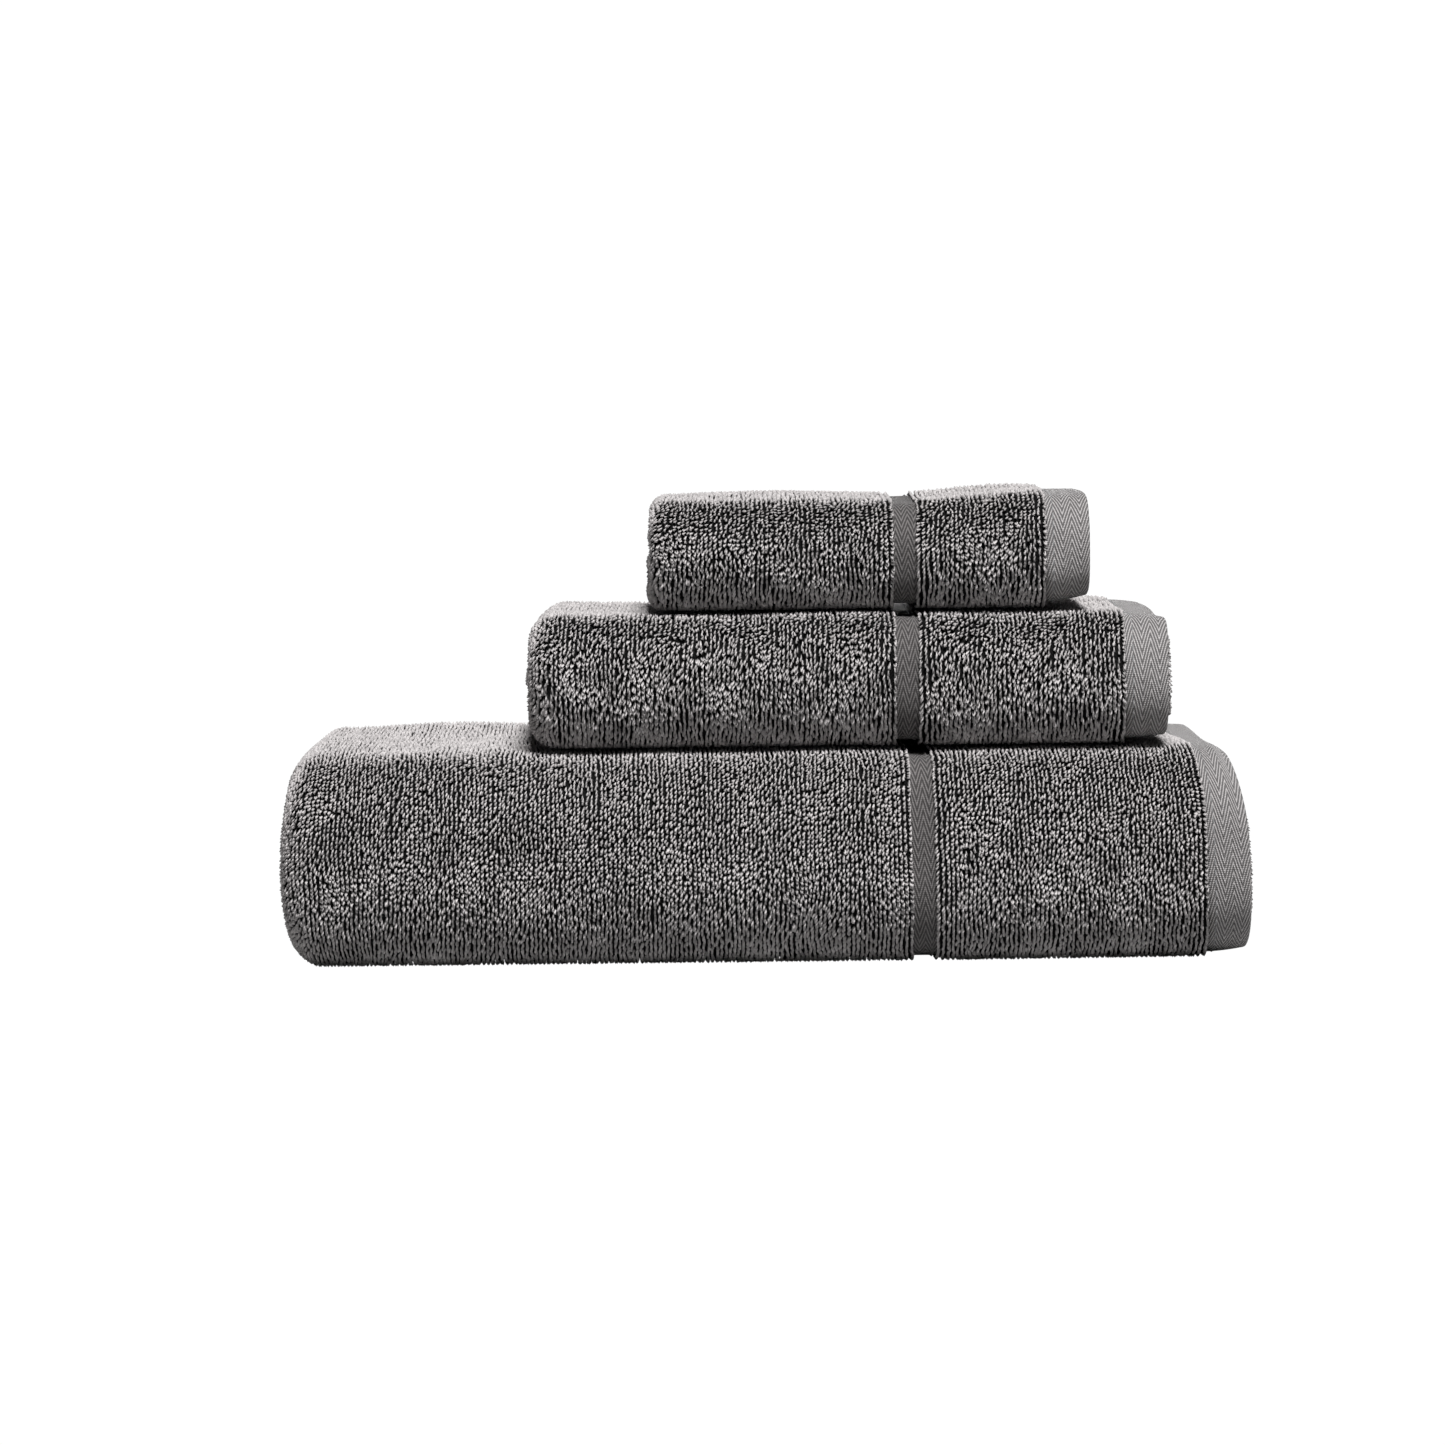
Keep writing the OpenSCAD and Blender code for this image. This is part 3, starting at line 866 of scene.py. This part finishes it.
def build_towel(towel, materials, seed):
    """All the pieces of one towel, from the hem in sight inwards."""
    rng = np.random.default_rng(seed)
    towel.take_zones()
    name = towel.name
    terry_slot, weave_slot = name + "_terry", name + "_flat_weave"
    hem_u = towel.hem_u
    band0, band1 = towel.band_u
    left = towel.u_of(1, 1.0)
    width = towel.v_end

    def zone(part, u0, u1, ranges, edges=()):
        node_name = f"{name}_{part}"
        cloth = ground(towel, node_name, u0, u1, materials)
        pieces = []
        if ranges:
            pieces = terry(towel, part, ranges, edges, materials["terry"], rng)
            ride_all(towel, pieces)
        declare(towel, cloth, node_name)

    def whole(u0, u1):
        return u0, u1, 0, width

    def fold(u0, u1):
        """The inside of the front fold, which both ends of a towel show."""
        return u0, u1, towel.v_of(3, -0.1), towel.v_of(4, 0.1)

    zone("end_panel", hem_u, band0, [whole(hem_u, band0)], ((hem_u, -1), (band0, 1)))
    zone("terry_field", band1, left, [whole(band1, left)], ((band1, -1),))
    band(towel, materials)
    hem(towel, name + "_end_hem", 0.0, hem_u, True, materials)
    stitches = stitch_row(
        towel, name + "_hem_stitching_thread", hem_u - SEAM_INSET, 0, width,
        HEM_LEVEL, materials["thread"],
    )
    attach(stitches, towel.body)
    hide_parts(name + "_hem_stitching")
    side_hems(towel, materials)

    # The plies inside, from the left turn on to the hem of the towel's other end
    u_end = towel.u_end
    last = u_end - hem_u
    inner = fold(left, left + FOLD_SEEN)
    if towel.plies == 2:
        zone("inner_ply", left, last, [inner, whole(last - END_SEEN, last)])
        hem(towel, name + "_inner_hem", last, u_end, False, materials)
        return
    turn = towel.u_of(3, 0.5)
    zone("inner_ply", left, turn, [inner, whole(turn - END_SEEN, turn)])
    after_turn = [whole(turn, turn + END_SEEN)]
    if towel.plies == 4:
        zone("third_ply", turn, towel.u_of(5, 0.5), after_turn)
        zone("second_ply", towel.u_of(5, 0.5), last, [])
    else:
        zone("second_ply", turn, last, after_turn)
    hem(towel, name + "_second_hem", last, u_end, False, materials)


# ------------------------------------------------------------------ camera, light and floor

def add_camera(azimuth, pitch, roll, distance, aim, field):
    """A camera turned by azimuth and pitch (degrees) about aim; field is the width it sees there."""
    data = bpy.data.cameras.new("camera")
    data.sensor_width = 36
    data.lens = 36 * distance / field
    data.clip_end = 100
    camera = bpy.data.objects.new("camera", data)
    bpy.context.scene.collection.objects.link(camera)
    a, e = math.radians(azimuth), math.radians(pitch)
    back = np.array([math.sin(a) * math.cos(e), -math.cos(a) * math.cos(e), math.sin(e)])
    camera.location = np.array(aim) + distance * back
    level = Euler((math.pi / 2 - e, 0, a)).to_matrix()
    turned = level @ Matrix.Rotation(math.radians(roll), 3, "Z")
    camera.rotation_euler = turned.to_euler()
    bpy.context.scene.camera = camera


def add_sun(name, elevation, azimuth, strength, softness):
    """A sun at an elevation, turned by azimuth from the front; softness is its width in degrees."""
    data = bpy.data.lights.new(name, "SUN")
    data.energy = strength
    data.angle = math.radians(softness)
    sun = bpy.data.objects.new(name, data)
    bpy.context.scene.collection.objects.link(sun)
    sun.rotation_euler = (math.radians(90 - elevation), 0, math.radians(azimuth))


def add_floor(name, shade, glow, seen):
    """A very wide flat floor whose far rim rises a little, so that no view ends at a horizon.

    The floor that is seen is an even white; the other one throws the softer light back up.
    """
    material, tree, shader = new_material(name)
    shader.inputs["Base Color"].default_value = (shade, shade, shade, 1)
    shader.inputs["Roughness"].default_value = 0.9
    shader.inputs["Specular IOR Level"].default_value = 0.0
    shader.inputs["Emission Color"].default_value = (1, 1, 1, 1)
    shader.inputs["Emission Strength"].default_value = glow
    count = 64
    turn = np.arange(count) / count * 2 * math.pi
    points, faces = [], []
    for radius, z in ((2.0, 0), (30.0, 0), (34.0, 0.4), (38.0, 1.4), (42.0, 3.2)):
        points.extend(zip(radius * np.cos(turn), radius * np.sin(turn), np.full(count, z)))
    for i in range(4):
        a = i * count + np.arange(count)
        b = i * count + (np.arange(count) + 1) % count
        faces.extend(np.stack([a, a + count, b + count, b], 1))
    for k in range(1, count - 2, 2):
        faces.append((0, k, k + 1, k + 2))
    floor = add_mesh(name, points, faces, material, False)
    floor.location.z = -0.2 * MM
    floor.visible_camera = seen
    for flag in ("visible_diffuse", "visible_glossy", "visible_shadow"):
        setattr(floor, flag, not seen)


def add_world(strength):
    """An even white surround."""
    world = bpy.data.worlds.new("studio")
    bpy.context.scene.world = world
    world.use_nodes = True
    back = world.node_tree.nodes["Background"]
    back.inputs[0].default_value = (1, 1, 1, 1)
    back.inputs[1].default_value = strength


bpy.context.scene.view_settings.view_transform = "Standard"
add_camera(
    azimuth=-1.0, pitch=3.4, roll=-0.55, distance=3.5,
    aim=(-0.0158, -0.0975, 0.0890), field=0.517,
)
add_sun("key_light", elevation=56, azimuth=8, strength=5.0, softness=16)
add_sun("back_light", elevation=15, azimuth=172, strength=0.9, softness=30)
add_world(0.03)
add_floor("studio_floor", 0.0, 1.02, True)
add_floor("studio_bounce", 0.35, 0.0, False)

# ------------------------------------------------------------------ the three towels

BATH = {
    "fullness": 3.5, "foot": 2.8, "waist": 0.47, "end_reach": 46 * MM,
    "left_top": 6.0 * MM, "left_foot": 10 * MM, "left_plan": 2.5 * MM, "left_back": 8 * MM,
    "left_out": 1.8 * MM, "sag": 0, "back_rise": 2.0 * MM,
    "right_top": 5 * MM, "right_foot": 3.5 * MM, "right_plan": 2 * MM, "right_back": 8 * MM,
    "lean": 2.2 * MM,
    "hem_droop": 10 * MM, "hem_lift": 2.0 * MM, "panel_rise": 0,
    "swell": 0.9 * MM, "dimple": 0.25 * MM, "pressed": 0.6,
    "loop_pitch": (1.58 * MM, 1.50 * MM), "loop_height": 1.60 * MM, "loop_width": 0.82 * MM,
    "yarn": 0.52 * MM, "droop": 1.15 * MM, "loop_stray": 0.09, "loop_twist": 0.22,
}
HAND = {
    "fullness": 2.5, "foot": 2.35, "waist": 0.5, "end_reach": 34 * MM,
    "left_top": 2.4 * MM, "left_foot": 3.5 * MM, "left_plan": 1.5 * MM, "left_back": 6 * MM,
    "left_out": 1.6 * MM, "sag": 0, "back_rise": 0,
    "right_top": 0.8 * MM, "right_foot": 1.5 * MM, "right_plan": 1.5 * MM, "right_back": 1.5 * MM,
    "lean": 0,
    "hem_droop": 1.6 * MM, "hem_lift": 1.2 * MM, "panel_rise": 0,
    "swell": 0.6 * MM, "dimple": 0.25 * MM, "pressed": 0.6,
    "loop_pitch": (1.64 * MM, 1.50 * MM), "loop_height": 2.00 * MM, "loop_width": 0.95 * MM,
    "yarn": 0.46 * MM, "droop": 1.5 * MM, "loop_stray": 0.12, "loop_twist": 0.38,
}
WASH = {
    "fullness": 2.2, "foot": 2.3, "waist": 0.5, "end_reach": 26 * MM,
    "left_top": 0.6 * MM, "left_foot": 0.3 * MM, "left_plan": 0.5 * MM, "left_back": 3 * MM,
    "left_out": 0, "sag": 3.1 * MM, "back_rise": 0,
    "right_top": 0.8 * MM, "right_foot": 0.8 * MM, "right_plan": 0.5 * MM, "right_back": 1 * MM,
    "lean": 0,
    "hem_droop": 0, "hem_lift": 2.8 * MM, "panel_rise": 2.4 * MM,
    "swell": 0.5 * MM, "dimple": 0.25 * MM, "pressed": 0.0,
    "loop_pitch": (1.66 * MM, 1.42 * MM), "loop_height": 1.90 * MM, "loop_width": 0.95 * MM,
    "yarn": 0.48 * MM, "droop": 1.5 * MM, "loop_stray": 0.11, "loop_twist": 0.38,
}

TOWELS = (
    # name, body, plies along, strips from front to back, shape
    ("bath", "bath_towel", 4, 4, BATH),
    ("hand", "hand_towel", 3, 3, HAND),
    ("wash", "wash_cloth", 2, 4, WASH),
)


def towel_materials(name, thread):
    return {
        "terry": terry_material(name + "_terry_yarn", YARN_FOOT_SHADE, YARN_HEAD),
        # The ground weave is painted near black as the shade between the loops.
        "ground": weave_material(
            name + "_ground_weave", GROUND_SHADE_GREY, 0.2, 0.1, 0.1, 0.1 * MM, sheen=0.0, gloss=0.05
        ),
        "weave": weave_material(name + "_flat_weave", HEM_GREY, 0.33, 0.11, 0.28, 0.55 * MM),
        # A darker copy of the flat weave, for painted shade in the band's recess.
        "band": weave_material(name + "_band_weave", BAND_SHADE_GREY, 0.22, 0.11, 0.28, 0.35 * MM),
        "thread": thread,
    }


thread = thread_material("sewing_thread", THREAD_GREY)
for number, (name, body, plies, strips, shape) in enumerate(TOWELS):
    seed = FIRST_SEED + number * SEED_STEP
    towel = Towel(name, body, plies, strips, shape, seed)
    build_towel(towel, towel_materials(name, thread), seed)
